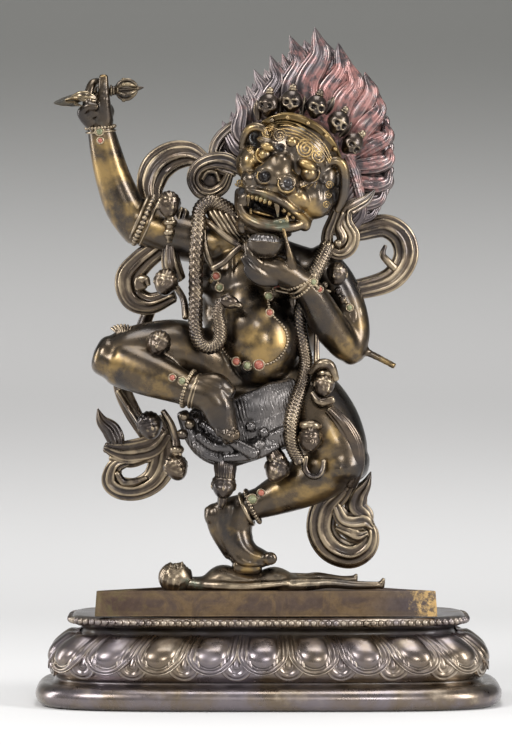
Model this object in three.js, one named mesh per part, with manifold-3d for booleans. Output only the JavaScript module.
// A gilt bronze statue of a lion-headed dancing figure, standing on a person who lies on a low
// three-sided block, on a lotus pedestal. Millimetres, +Z up. The origin is the centre of the
// pedestal's underside, the front faces -Y and +X is the viewer's right.

import * as THREE from "three";
import { mergeVertices } from "three/addons/utils/BufferGeometryUtils.js";
import Module from "manifold-3d";

const wasm = await Module();
wasm.setup();

// Pedestal
const FOOT_HALF_WIDTH = 144;
const FOOT_ROLL = 7; // radius of the rounded foot moulding
const ROLL_STEPS = 4;
const RIM_HALF_WIDTH = 123;
const PLATE_TOP = 55.5;
const WIDTH_OVER_DEPTH = 67; // half width less half depth, the same at every level
const CORNER_POWER = 4; // of the outline: 2 is an ellipse, higher is squarer
const PETALS = 22;
const SIDES_PER_PETAL = 2;
const PETAL_BULGE = 2.2;

// Block on the pedestal
const BLOCK_FRONT = -46;
const BLOCK_BACK = 46;
const BLOCK_HALF_WIDTH = 105;
const BLOCK_MIDDLE = -1.6;
const BLOCK_TOP = 71.7;
const BLOCK_FLARE = 1.2; // how much wider the block is at its foot
const TRAY_FLOOR = 70.2; // the block's top is a shallow tray inside a narrow rim
const TRAY_RIM = 3;

// Held pieces and stones
const HANDLE_RADIUS = 2;
const BLADE_THICKNESS = 2;
const BLADE_TILT = 12; // degrees, its top towards the viewer
const BLADE_RISE = -8;
const CUP_RADIUS = 11.4;
const CUP_LEAN = 4;
const STONE_DEPTH = 0.8; // of a stone's radius
const STONE_PROUD = 0.4; // of a stone's radius, how far its middle stands before the surface

// Flame hair
const HAIR_FRONT = -21;
const HAIR_BACK = 9;

const GAP = 0.3; // between pieces that touch
const END_HEIGHT = 0.7; // of a tube's round end, as shares of its radius
const END_RADIUS = 0.5;

const BRONZE = "#4a3b26";
const BRONZE_DARK = "#3a3230";
const BRONZE_GOLD = "#6b5530";
const CORAL = "#b0564a";
const TURQUOISE = "#8fae7c";

// Solids

function solid(geometry) {
  const bare = geometry.clone();
  bare.deleteAttribute("normal");
  bare.deleteAttribute("uv");
  const merged = mergeVertices(bare, 1e-3);
  const triangles = merged.index ? merged.index.array : merged.attributes.position.array.map((_, i) => i);
  return new wasm.Manifold(
    new wasm.Mesh({
      numProp: 3,
      vertProperties: Float32Array.from(merged.attributes.position.array),
      triVerts: Uint32Array.from(triangles),
    }),
  );
}

function joined(solids) {
  return solids.reduce((whole, next) => whole.add(next));
}

function node(name, shape, colour, roughness = 0.38, metalness = 0.9) {
  const data = shape.getMesh();
  const geometry = new THREE.BufferGeometry();
  geometry.setAttribute("position", new THREE.BufferAttribute(Float32Array.from(data.vertProperties), 3));
  geometry.setIndex(new THREE.BufferAttribute(Uint32Array.from(data.triVerts), 1));
  geometry.computeVertexNormals();
  const material = new THREE.MeshStandardMaterial({ color: colour, roughness, metalness });
  const mesh = new THREE.Mesh(geometry, material);
  mesh.name = name;
  return mesh;
}

// An ellipsoid with three half sizes, leaning to the right by `lean` degrees as seen from the front.
function egg([x, y, z], [rx, ry, rz], lean = 0, sides = 8, rows = 5) {
  const geometry = new THREE.SphereGeometry(1, sides, rows);
  geometry.rotateX(Math.PI / 2);
  geometry.scale(rx, ry, rz);
  geometry.rotateY(THREE.MathUtils.degToRad(lean));
  geometry.translate(x, y, z);
  return solid(geometry);
}

// A tube with round ends through points [x, y, z, half width seen from the front, half depth].
function tube(points, sides = 5, steps = 1) {
  const places = points.map(([x, y, z]) => new THREE.Vector3(x, y, z));
  const curve = new THREE.CatmullRomCurve3(places, false, "catmullrom", 0.5);
  const widths = points.map((point) => point[3]);
  const depths = points.map((point) => point[4] ?? point[3]);
  const spans = points.length - 1;
  const body = spans * steps;
  const rows = body + 2;
  const geometry = new THREE.CylinderGeometry(1, 1, 1, sides, rows);
  const position = geometry.attributes.position;
  for (let i = 0; i < position.count; i++) {
    const row = Math.round((position.getY(i) + 0.5) * rows);
    const t = THREE.MathUtils.clamp((row - 1) / body, 0, 1);
    const span = Math.min(Math.floor(t * spans), spans - 1);
    let width = THREE.MathUtils.lerp(widths[span], widths[span + 1], t * spans - span);
    let depth = THREE.MathUtils.lerp(depths[span], depths[span + 1], t * spans - span);
    const centre = curve.getPoint(t);
    const along = curve.getTangent(t);
    const across = new THREE.Vector3(along.z, 0, -along.x).normalize();
    const inward = new THREE.Vector3().crossVectors(across, along);
    if (row === 0 || row === rows) {
      centre.addScaledVector(along, Math.sign(row - 0.5) * Math.min(width, depth) * END_HEIGHT);
      width *= END_RADIUS;
      depth *= END_RADIUS;
    }
    centre.addScaledVector(across, position.getX(i) * width);
    centre.addScaledVector(inward, position.getZ(i) * depth);
    position.setXYZ(i, centre.x, centre.y, centre.z);
  }
  return solid(geometry);
}

// A ring that faces the front.
function ring([x, y, z], radius, thickness, depth, sides = 4, segments = 9) {
  const geometry = new THREE.TorusGeometry(radius, thickness, sides, segments);
  geometry.scale(1, 1, depth / thickness);
  geometry.rotateX(Math.PI / 2);
  geometry.translate(x, y, z);
  return solid(geometry);
}

// A plate with a front outline [x, z], between two depths.
function plate(outline, front, back) {
  const shape = new THREE.Shape(outline.map(([x, z]) => new THREE.Vector2(x, z)));
  const geometry = new THREE.ExtrudeGeometry(shape, { depth: back - front, bevelEnabled: false });
  geometry.rotateX(Math.PI / 2);
  geometry.translate(0, back, 0);
  return solid(geometry);
}

// Pedestal: a profile [half width, height, share of the petals' bulge] turned around a rounded oblong.

function oblong(angle, halfWidth, halfDepth) {
  const power = 2 / CORNER_POWER;
  const x = Math.sign(Math.sin(angle)) * Math.abs(Math.sin(angle)) ** power * halfWidth;
  const y = -Math.sign(Math.cos(angle)) * Math.abs(Math.cos(angle)) ** power * halfDepth;
  return [x, y];
}

// The angles that part the rim into equal lengths, from the middle of the front.
function evenAngles(count) {
  const fine = 3600;
  const lengths = [0];
  let last = oblong(0, RIM_HALF_WIDTH, RIM_HALF_WIDTH - WIDTH_OVER_DEPTH);
  for (let i = 1; i <= fine; i++) {
    const next = oblong((i / fine) * 2 * Math.PI, RIM_HALF_WIDTH, RIM_HALF_WIDTH - WIDTH_OVER_DEPTH);
    lengths.push(lengths[i - 1] + Math.hypot(next[0] - last[0], next[1] - last[1]));
    last = next;
  }
  const angles = [];
  for (let i = 0, at = 0; i < count; i++) {
    while (lengths[at + 1] < (lengths[fine] * i) / count) at++;
    angles.push((at / fine) * 2 * Math.PI);
  }
  return angles;
}

function pedestal() {
  const footCentre = FOOT_HALF_WIDTH - FOOT_ROLL;
  const profile = [[0, 0, 0]];
  for (let i = 0; i <= ROLL_STEPS; i++) {
    const turn = -Math.PI / 2 + (i * Math.PI) / ROLL_STEPS;
    profile.push([footCentre + FOOT_ROLL * Math.cos(turn), FOOT_ROLL + FOOT_ROLL * Math.sin(turn), 0]);
  }
  profile.push([132, 15.5, 0], [133, 18, 0.5], [136, 22, 1], [136, 28, 1], [131, 35, 1], [121, 41, 0.3]);
  profile.push([116, 42.5, 0], [115.5, 48, 0], [RIM_HALF_WIDTH - 2, 49.5, 0],
    [RIM_HALF_WIDTH + 1, 52.5, 0]);
  profile.push([RIM_HALF_WIDTH - 1.5, PLATE_TOP, 0], [0, PLATE_TOP, 0]);
  const sides = PETALS * SIDES_PER_PETAL;
  const angles = evenAngles(sides);
  const points = profile.map(([halfWidth, height]) => new THREE.Vector2(halfWidth, height));
  const geometry = new THREE.LatheGeometry(points, sides);
  const position = geometry.attributes.position;
  for (let i = 0; i < position.count; i++) {
    const side = Math.floor(i / profile.length) % sides;
    const [level, height, petals] = profile[i % profile.length];
    const bulge = Math.cos((side / SIDES_PER_PETAL) * 2 * Math.PI) * PETAL_BULGE * petals;
    const halfWidth = level === 0 ? 0 : level + bulge;
    const [x, y] = oblong(angles[side], halfWidth, Math.max(0, halfWidth - WIDTH_OVER_DEPTH));
    position.setXYZ(i, x, y, height);
  }
  return solid(geometry);
}

// Block

function triangle(halfWidth, front, back) {
  const corners = [[-halfWidth, front], [halfWidth, front], [0, back]];
  return new THREE.Shape(corners.map(([x, y]) => new THREE.Vector2(x + BLOCK_MIDDLE, y)));
}

function block() {
  const bottom = PLATE_TOP + GAP;
  const height = BLOCK_TOP - bottom;
  const outline = triangle(BLOCK_HALF_WIDTH, BLOCK_FRONT, BLOCK_BACK);
  const geometry = new THREE.ExtrudeGeometry(outline, { depth: height, bevelEnabled: false });
  const position = geometry.attributes.position;
  for (let i = 0; i < position.count; i++) {
    const flare = 1 + (BLOCK_FLARE / BLOCK_HALF_WIDTH) * (1 - position.getZ(i) / height);
    position.setX(i, position.getX(i) * flare);
  }
  geometry.translate(0, 0, bottom);
  const slope = (BLOCK_BACK - BLOCK_FRONT) / BLOCK_HALF_WIDTH;
  const backRim = TRAY_RIM * Math.sqrt(1 + slope * slope);
  const sideRim = (TRAY_RIM + backRim) / slope;
  const floor = triangle(BLOCK_HALF_WIDTH - sideRim, BLOCK_FRONT + TRAY_RIM, BLOCK_BACK - backRim);
  const tray = new THREE.ExtrudeGeometry(floor, { depth: height, bevelEnabled: false });
  tray.translate(0, 0, TRAY_FLOOR);
  return solid(geometry).subtract(solid(tray));
}

// The person lying on the block, head to the left.

function corpse(clearance) {
  const body = joined([
    egg([-55, -32, 78.5], [9.5, 9, 8.5]),
    tube([[-48.5, -32, 75, 5, 5], [-38, -32, 75, 6, 8], [-27.5, -30, 76, 8.5, 11.5],
      [-11.5, -31, 74, 6.5, 11],
      [3.5, -30, 76, 8.5, 11.5], [13, -31, 75.5, 6, 10]], 7),
    tube([[-38.5, -37, 74, 3, 3], [-17.5, -39.5, 73, 3, 3], [7, -39.5, 73.5, 2.6, 2.6],
      [30, -38, 77, 2, 3]], 5),
    tube([[9.5, -28, 76, 6, 6], [26.5, -28, 76.5, 4, 4.5], [44, -27, 76.5, 3, 3],
      [54, -27, 77.5, 2.5, 3]], 5),
    tube([[9.5, -36, 75, 5, 6], [30.5, -37, 74.5, 4, 4.5], [50, -37, 74, 3, 3.2],
      [70, -37, 75.5, 2.5, 3.2]], 5),
  ]);
  const below = new THREE.BoxGeometry(2 * FOOT_HALF_WIDTH, 2 * FOOT_HALF_WIDTH, TRAY_FLOOR);
  below.translate(0, 0, TRAY_FLOOR / 2 + GAP);
  return body.subtract(solid(below)).translate([0, 0, clearance]);
}

// The dancing figure, from the foot up.

function standingLeg() {
  return [
    tube([[13, -18, 192.5, 21], [31.5, -27, 173, 24], [41.5, -33, 154, 19.5]], 7),
    tube([[40.5, -33, 153, 19], [21.5, -34, 136.5, 15], [2, -34, 128, 11.5], [-12.5, -34, 121.5, 9.5]],
      7),
    tube([[-16.5, -31, 122, 9], [-20.5, -31, 105, 9.5], [-15, -32, 92, 7.5, 9], [-2, -33, 90, 4.5, 8]]),
    tube([[-19, -30, 121.5, 8], [-34, -29, 118, 5.5]]),
    tube([[-17.5, -33, 86, 6, 7], [-9, -33, 85.5, 6, 7]]),
  ];
}

function raisedLeg() {
  return [
    tube([[-20, -20, 200, 18], [-54.5, -28, 217.5, 20], [-79, -34, 218.5, 17], [-89.5, -40, 214, 15]], 7),
    tube([[-91.5, -42, 212, 15.5], [-72.5, -51, 202.5, 13.5], [-49, -58, 194.5, 10]], 7),
    tube([[-46.5, -58, 194.5, 9.5], [-34.5, -60, 191.5, 10], [-26, -61, 180.5, 7.5, 8],
      [-24, -60, 169.5, 4.5, 8]]),
    egg([-89, -40, 230.5], [8, 6, 5], 20),
  ];
}

function torso() {
  return [
    egg([-3, -18, 192.5], [27, 20, 17]),
    egg([-6.5, -25, 220.5], [26.5, 26, 27.5], 0, 10, 7),
    egg([-8.5, -20, 239.5], [26, 20, 25]),
    egg([-11.5, -18, 260], [30, 19, 28]),
    tube([[-42.5, -16, 286, 13], [-20.5, -16, 287.5, 14], [7, -15, 274.5, 12.5], [30.5, -14, 267.5, 12]]),
  ];
}

function raisedArm() {
  return [
    tube([[-42.5, -16, 286, 14.5], [-64, -16, 291, 14], [-80.5, -17, 298, 13.5]], 7),
    tube([[-80.5, -17, 298, 13.5], [-90, -19, 310.5, 11.8], [-97.5, -22, 330.5, 10],
      [-103, -26, 356, 8]], 7),
    tube([[-73, -17, 311.5, 3, 15.5], [-81, -17, 282, 3, 15.5]]),
    egg([-103.5, -26, 366], [9.5, 9, 9.5]),
    tube([[-101, -34, 368, 3.2], [-100.5, -35, 385, 2.5]]),
    tube([[-108, -34, 368, 4, 4], [-110.5, -34, 374, 3.5, 3.5], [-109, -30, 380.5, 3.5, 4],
      [-106.5, -24, 380.5, 3, 4]]),
    tube([[-113, -30, 361.5, 3.2], [-108, -36, 364.5, 3]]),
  ];
}

function cupArm() {
  return [
    tube([[31.5, -14, 270, 13], [45.5, -16, 249, 11.5], [50, -24, 224.5, 10.5]]),
    tube([[48, -28, 218.5, 9.5], [37.5, -36, 234, 11], [27.5, -44, 250.5, 9.5], [19, -50, 259.5, 8]], 7),
    tube([[18, -50, 261.5, 7.5], [4.5, -53, 266.5, 8.5, 9], [-4, -54, 270, 7, 9]]),
    tube([[8.5, -60, 291, 1.8], [11, -62, 276.5, 2.6], [10.5, -58, 269, 4]]),
    tube([[-12.5, -60, 282.5, 2.2], [-9, -62, 274, 3], [-4, -58, 265.5, 4]]),
  ];
}

// The broken-off staff: a stub below the elbow.
function staffStub() {
  return [tube([[51.5, -24, 223, 3], [61, -25, 216.5, 2.2], [76.5, -26, 209, 1.9]])];
}

function head() {
  return [
    egg([16, -27, 336.5], [28, 25, 27], 24, 10, 7),
    egg([7, -44, 321.5], [19, 18, 15], 24),
    egg([25.5, -36, 312], [14, 15, 17], 24),
    egg([-11.5, -36, 326.5], [8, 13, 17], 7),
    tube([[-19, -38, 307.5, 4, 7], [-5.5, -44, 298.5, 6, 9], [13, -42, 297, 7, 9], [23, -36, 302, 6, 8]]),
    tube([[-12, -28, 342.5, 4, 4], [-11.5, -28, 351.5, 4, 3], [-3.5, -30, 355.5, 3, 3]]),
    tube([[35, -30, 333.5, 4, 4], [42.5, -30, 329, 4, 3], [44.5, -28, 313, 3, 4],
      [40, -26, 303.5, 3, 4]]),
    egg([-4, -22, 287.5], [18, 15, 14]),
  ];
}

function crown() {
  const skulls = [[0, -32, 368], [13.5, -31, 370], [29, -32, 367.5], [42, -29, 358], [50.5, -25, 345.5]];
  return [
    tube([[-4, -36, 356, 2.5, 5], [1, -38, 360, 3, 5], [12, -37, 362, 3.5, 6], [24, -40, 359.5, 3, 5],
      [35, -38, 351, 3, 5], [42, -32, 341, 3, 5]]),
    ...skulls.map((place) => egg(place, [6.5, 9, 9], 12, 6, 4)),
  ];
}

function hair() {
  const flames = [
    [-25, 332.5], [-30.5, 347.5], [-29, 359], [-24, 358], [-19.5, 376.5], [-16, 370], [-9, 390.5],
    [-4, 381.5], [1, 400],
    [9.5, 390], [13.5, 411.5], [21.5, 396], [24, 404.5], [28.5, 417], [35.5, 397.5], [43, 407],
    [47.5, 392.5], [50.5, 396], [54.5, 382.5],
    [60, 388.5], [63.5, 372.5], [66.5, 376.5], [72.5, 359], [75.5, 341.5], [74, 326.5], [64, 307.5],
    [51.5, 297], [19.5, 301.5],
  ];
  return [plate(flames, HAIR_FRONT, HAIR_BACK), egg([29.5, -4, 341.5], [34, 20, 38], 14)];
}

function earRibbons() {
  return [
    tube([[-17.5, -14, 359, 3, 4], [-26, -14, 351.5, 3.5, 4], [-31, -16, 341.5, 4, 5],
      [-28.5, -18, 330.5, 4, 5], [-22.5, -18, 325.5, 4, 5]]),
    ring([-36.5, -20, 323], 8, 3.6, 5),
    egg([-36.5, -17, 322.5], [8, 3, 8]),
    tube([[51.5, -16, 313, 4, 4], [63.5, -20, 313, 3, 4], [53.5, -24, 303.5, 5, 4], [48, -26, 296, 5, 4],
      [48.5, -28, 285, 5, 4]]),
    ring([42.5, -28, 286], 6.5, 4, 4.5),
  ];
}

function scarves() {
  return [
    tube([[-69.5, -14, 302, 5, 5], [-72.5, -10, 317, 5.5, 6], [-72.5, -6, 328, 6.5, 7],
      [-67, -4, 337.5, 7, 7], [-56, -4, 341, 6, 7],
      [-38.5, -10, 336.5, 4, 5]]),
    tube([[-57, -20, 301, 6, 6], [-60.5, -22, 291, 4.5, 5], [-72, -20, 280, 6, 6], [-84, -16, 269, 7, 7],
      [-87.5, -12, 257.5, 7.5, 7],
      [-81, -12, 248, 7, 7], [-68, -14, 249, 5, 6], [-56, -18, 255.5, 5, 6]]),
    tube([[-60.5, -22, 291, 5, 4], [-59.5, -24, 272.5, 5, 4], [-55.5, -22, 261.5, 5, 5]]),
    tube([[-73, -10, 245.5, 4, 4], [-79.5, -6, 230.5, 4, 4], [-90.5, -6, 199.5, 4, 4],
      [-84, -6, 181, 4, 4], [-72, -6, 162.5, 4, 4]]),
    tube([[40.5, -14, 294.5, 5, 6], [54, -8, 293.5, 5, 6], [71.5, -4, 293, 5, 6], [83.5, -2, 285, 6, 7],
      [83.5, -2, 272.5, 7, 7],
      [74, -4, 260.5, 6.5, 7], [56.5, -8, 256.5, 6, 6], [40.5, -12, 256.5, 5, 5]]),
  ];
}

function scarfTails() {
  return [
    tube([[-105, -6, 181.5, 1, 1], [-99.5, -6, 172.5, 3, 3], [-97, -6, 162.5, 5, 4],
      [-87, -6, 154.5, 6.5, 5], [-72, -6, 151, 6, 5]]),
    tube([[-73.5, -6, 171.5, 5, 5], [-65.5, -6, 158.5, 6, 5], [-66, -6, 144, 6, 5],
      [-76, -6, 132.5, 6.5, 5], [-89.5, -6, 131.5, 7, 5],
      [-96.5, -6, 140.5, 5, 5], [-89.5, -6, 149.5, 5, 4], [-76, -6, 148.5, 4, 4]]),
    tube([[49, -28, 146, 5, 5], [44.5, -20, 131, 5.5, 5], [34, -16, 119.5, 7, 5], [33, -16, 104.5, 7, 5],
      [42.5, -16, 91.5, 7, 5],
      [56.5, -16, 93, 8, 5], [60, -16, 103.5, 6, 5], [49, -16, 111.5, 4, 4], [40.5, -16, 118.5, 5, 5]]),
    tube([[63, -16, 142.5, 1, 1], [59, -16, 133.5, 4, 3], [54.5, -16, 124.5, 5, 4],
      [60, -16, 114.5, 5, 4], [51.5, -16, 108.5, 5, 4],
      [59, -16, 101, 5, 4]]),
  ];
}

function snakes() {
  return [
    tube([[-17, -32, 294.5, 4], [-23.5, -32, 304.5, 4.2], [-34.5, -34, 308.5, 4.2],
      [-42.5, -36, 303, 4.2], [-44, -42, 280, 4.2],
      [-44.5, -44, 249.5, 4.2], [-43.5, -48, 231, 4.2], [-37.5, -52, 221.5, 4.2],
      [-30.5, -53, 227.5, 4.2], [-30.5, -52, 242, 4],
      [-26, -52, 249.5, 4.2], [-18, -54, 246.5, 2.5]]),
    tube([[34.5, -34, 278.5, 4.5], [29, -38, 266.5, 4.5], [23, -30, 249.5, 4.2], [19, -32, 231, 4.2],
      [22.5, -34, 211.5, 4.2],
      [18, -44, 191, 4.2], [14, -52, 175, 4.2], [15.5, -52, 159.5, 4.2], [20.5, -50, 148.5, 4],
      [27.5, -50, 143.5, 3.5]]),
  ];
}

function garland() {
  const heads = [[-61, -34, 307.5], [-63, -36, 260], [-68, -48, 222.5], [-72.5, -44, 172.5],
    [-57.5, -44, 147], [-27.5, -48, 137],
    [5, -52, 147], [25, -54, 164.5], [34, -46, 199.5]];
  return [
    ...heads.map((place) => egg(place, [7.4, 7.2, 8.4], 0, 6, 4)),
    tube([[-61, -30, 307.5, 4, 5], [-60.5, -26, 289, 3, 4], [-61.5, -30, 259.5, 4, 4],
      [-52, -34, 243, 4, 5]]),
    tube([[-62.5, -46, 181, 3, 3], [-59, -46, 173.5, 4, 4], [-56, -46, 156.5, 3, 3]]),
    tube([[-72.5, -44, 172.5, 4, 4], [-56.5, -42, 173.5, 4, 5]]),
    tube([[-27.5, -48, 141, 5, 5], [-26, -44, 154, 6, 6]]),
    tube([[-28.5, -46, 131, 3, 3], [-28.5, -44, 123, 2, 2]]),
    tube([[4.5, -52, 148.5, 5, 5], [0, -46, 160.5, 4, 5]]),
    tube([[25, -54, 166.5, 6, 5], [25, -48, 176.5, 5, 6]]),
    tube([[36, -44, 204, 5, 5], [30.5, -30, 249.5, 4, 4], [41.5, -28, 266.5, 6, 6]]),
    tube([[-52, -42, 179.5, 5, 5], [-48, -42, 164, 7, 7], [-33.5, -44, 156.5, 8, 8],
      [-17.5, -48, 156.5, 8, 8], [1, -48, 160.5, 7, 8],
      [13, -46, 166.5, 6, 7]]),
    tube([[22.5, -54, 153.5, 2.5, 3], [22, -54, 146, 2.5, 3], [27.5, -54, 142.5, 2.5, 3],
      [33, -53, 146, 2.5, 3],
      [33, -52, 152, 2.5, 3]]),
  ];
}

function apron() {
  return [
    tube([[-20, -40, 179.5, 9, 5], [-4, -44, 181, 13, 5], [12, -42, 186, 12, 6], [19, -36, 194, 8, 6]]),
    tube([[-42, -34, 173.5, 10, 8], [-20, -40, 167.5, 14, 8], [8, -40, 171, 14, 8]]),
  ];
}

// Chopper: a crescent blade that lies level, a handle through the fist and a half sceptre as its pommel.

function chopperHandle(clearance) {
  const radius = HANDLE_RADIUS + clearance;
  return tube([[-115.5, -30, 373, radius], [-104.5, -30, 375, radius], [-95.5, -30, 377.5, radius]]);
}

function chopperBlade() {
  const blade = new THREE.Shape();
  blade.moveTo(0, -24);
  blade.quadraticCurveTo(-16, -14, -18, 0);
  blade.quadraticCurveTo(-16, 14, 0, 24);
  blade.quadraticCurveTo(-6, 10, 0, 4);
  blade.lineTo(0, -4);
  blade.quadraticCurveTo(-6, -10, 0, -24);
  const settings = { depth: BLADE_THICKNESS, bevelEnabled: false, curveSegments: 5 };
  const geometry = new THREE.ExtrudeGeometry(blade, settings);
  geometry.rotateX(THREE.MathUtils.degToRad(BLADE_TILT));
  geometry.rotateY(THREE.MathUtils.degToRad(BLADE_RISE));
  geometry.translate(...[-114, -30, 373]);
  return solid(geometry);
}

function chopper() {
  return joined([
    chopperBlade(),
    chopperHandle(0),
    egg([-95.5, -30, 377.5], [3.5, 4.5, 4.5]),
    egg([-88.5, -30, 377.5], [7, 6.5, 6.8]),
    tube([[-88.5, -30, 377.5, 4], [-82.5, -30, 378.5, 3], [-77.5, -30, 379, 1.5]]),
  ]);
}

// Skull cup: a bowl with a low heap in it.

function skullCup(clearance) {
  const bowl = [[0, -9.5], [5.5, -8.6], [9.6, -5], [11.4, 0.5], [10, 1.6], [5.5, 2.6], [0, 3.2]];
  const profile = bowl.map(([radius, height]) => new THREE.Vector2(radius, height));
  const geometry = new THREE.LatheGeometry(profile, 14);
  const grown = (CUP_RADIUS + clearance) / CUP_RADIUS;
  geometry.rotateX(Math.PI / 2);
  geometry.scale(grown, grown, grown);
  geometry.rotateY(THREE.MathUtils.degToRad(CUP_LEAN));
  geometry.translate(...[-2.5, -61, 284]);
  return solid(geometry);
}

// Stones: each sits on the figure's front surface, at x, z, with a radius.

const stones = {
  coral: [
    [-103, 347, 1.7], [-32, 264, 2.4], [5.5, 257.5, 2.3], [0.5, 241.5, 2.1], [-19.5, 212, 2.6],
    [-6, 210, 2.9], [31, 256, 1.8], [-58.5, 202.5, 1.8], [-4.5, 131.5, 2],
  ],
  turquoise: [
    [-103.5, 352.5, 2.2], [-30, 257, 2.1], [0, 251.5, 2.4], [-13, 209.5, 2.4], [27, 260.5, 2.2],
    [49.5, 244.5, 2], [-52.5, 200.5, 2.2], [-10, 127.5, 2.8],
  ],
};

// The depth of a solid's front surface at x, z.
function frontOf(shape, x, z) {
  const ray = new THREE.Raycaster(new THREE.Vector3(x, -300, z), new THREE.Vector3(0, 1, 0));
  const mesh = node("target", shape, BRONZE);
  return ray.intersectObject(mesh)[0].point.y;
}

function cabochon(x, y, z, radius) {
  return egg([x, y, z], [radius, radius * STONE_DEPTH, radius], 0, 6, 4);
}

// The object

const handle = chopperHandle(GAP);
const cast = [
  standingLeg, raisedLeg, torso, raisedArm, cupArm, staffStub, head, crown, hair, earRibbons, scarves,
  scarfTails, snakes, garland, apron,
];
const figure = joined(cast.flatMap((make) => make()))
  .subtract(handle)
  .subtract(skullCup(GAP))
  .subtract(corpse(GAP));

const ahead = figure.translate([0, -GAP, 0]);
const object = new THREE.Group();
for (const [kind, colour] of [["coral", CORAL], ["turquoise", TURQUOISE]]) {
  stones[kind].forEach(([x, z, radius], index) => {
    const front = frontOf(figure, x, z);
    const stone = cabochon(x, front - radius * STONE_PROUD, z, radius).subtract(ahead);
    object.add(node(`${kind}_${index + 1}`, stone, colour, 0.35, 0));
  });
}

object.add(
  node("lotus_pedestal", pedestal(), BRONZE),
  node("triangle_plinth", block(), BRONZE_GOLD),
  node("corpse", corpse(0), BRONZE),
  node("figure", figure, BRONZE),
  node("chopper", chopper(), BRONZE_DARK),
  node("skull_cup", skullCup(0), BRONZE_DARK),
);

export default object;
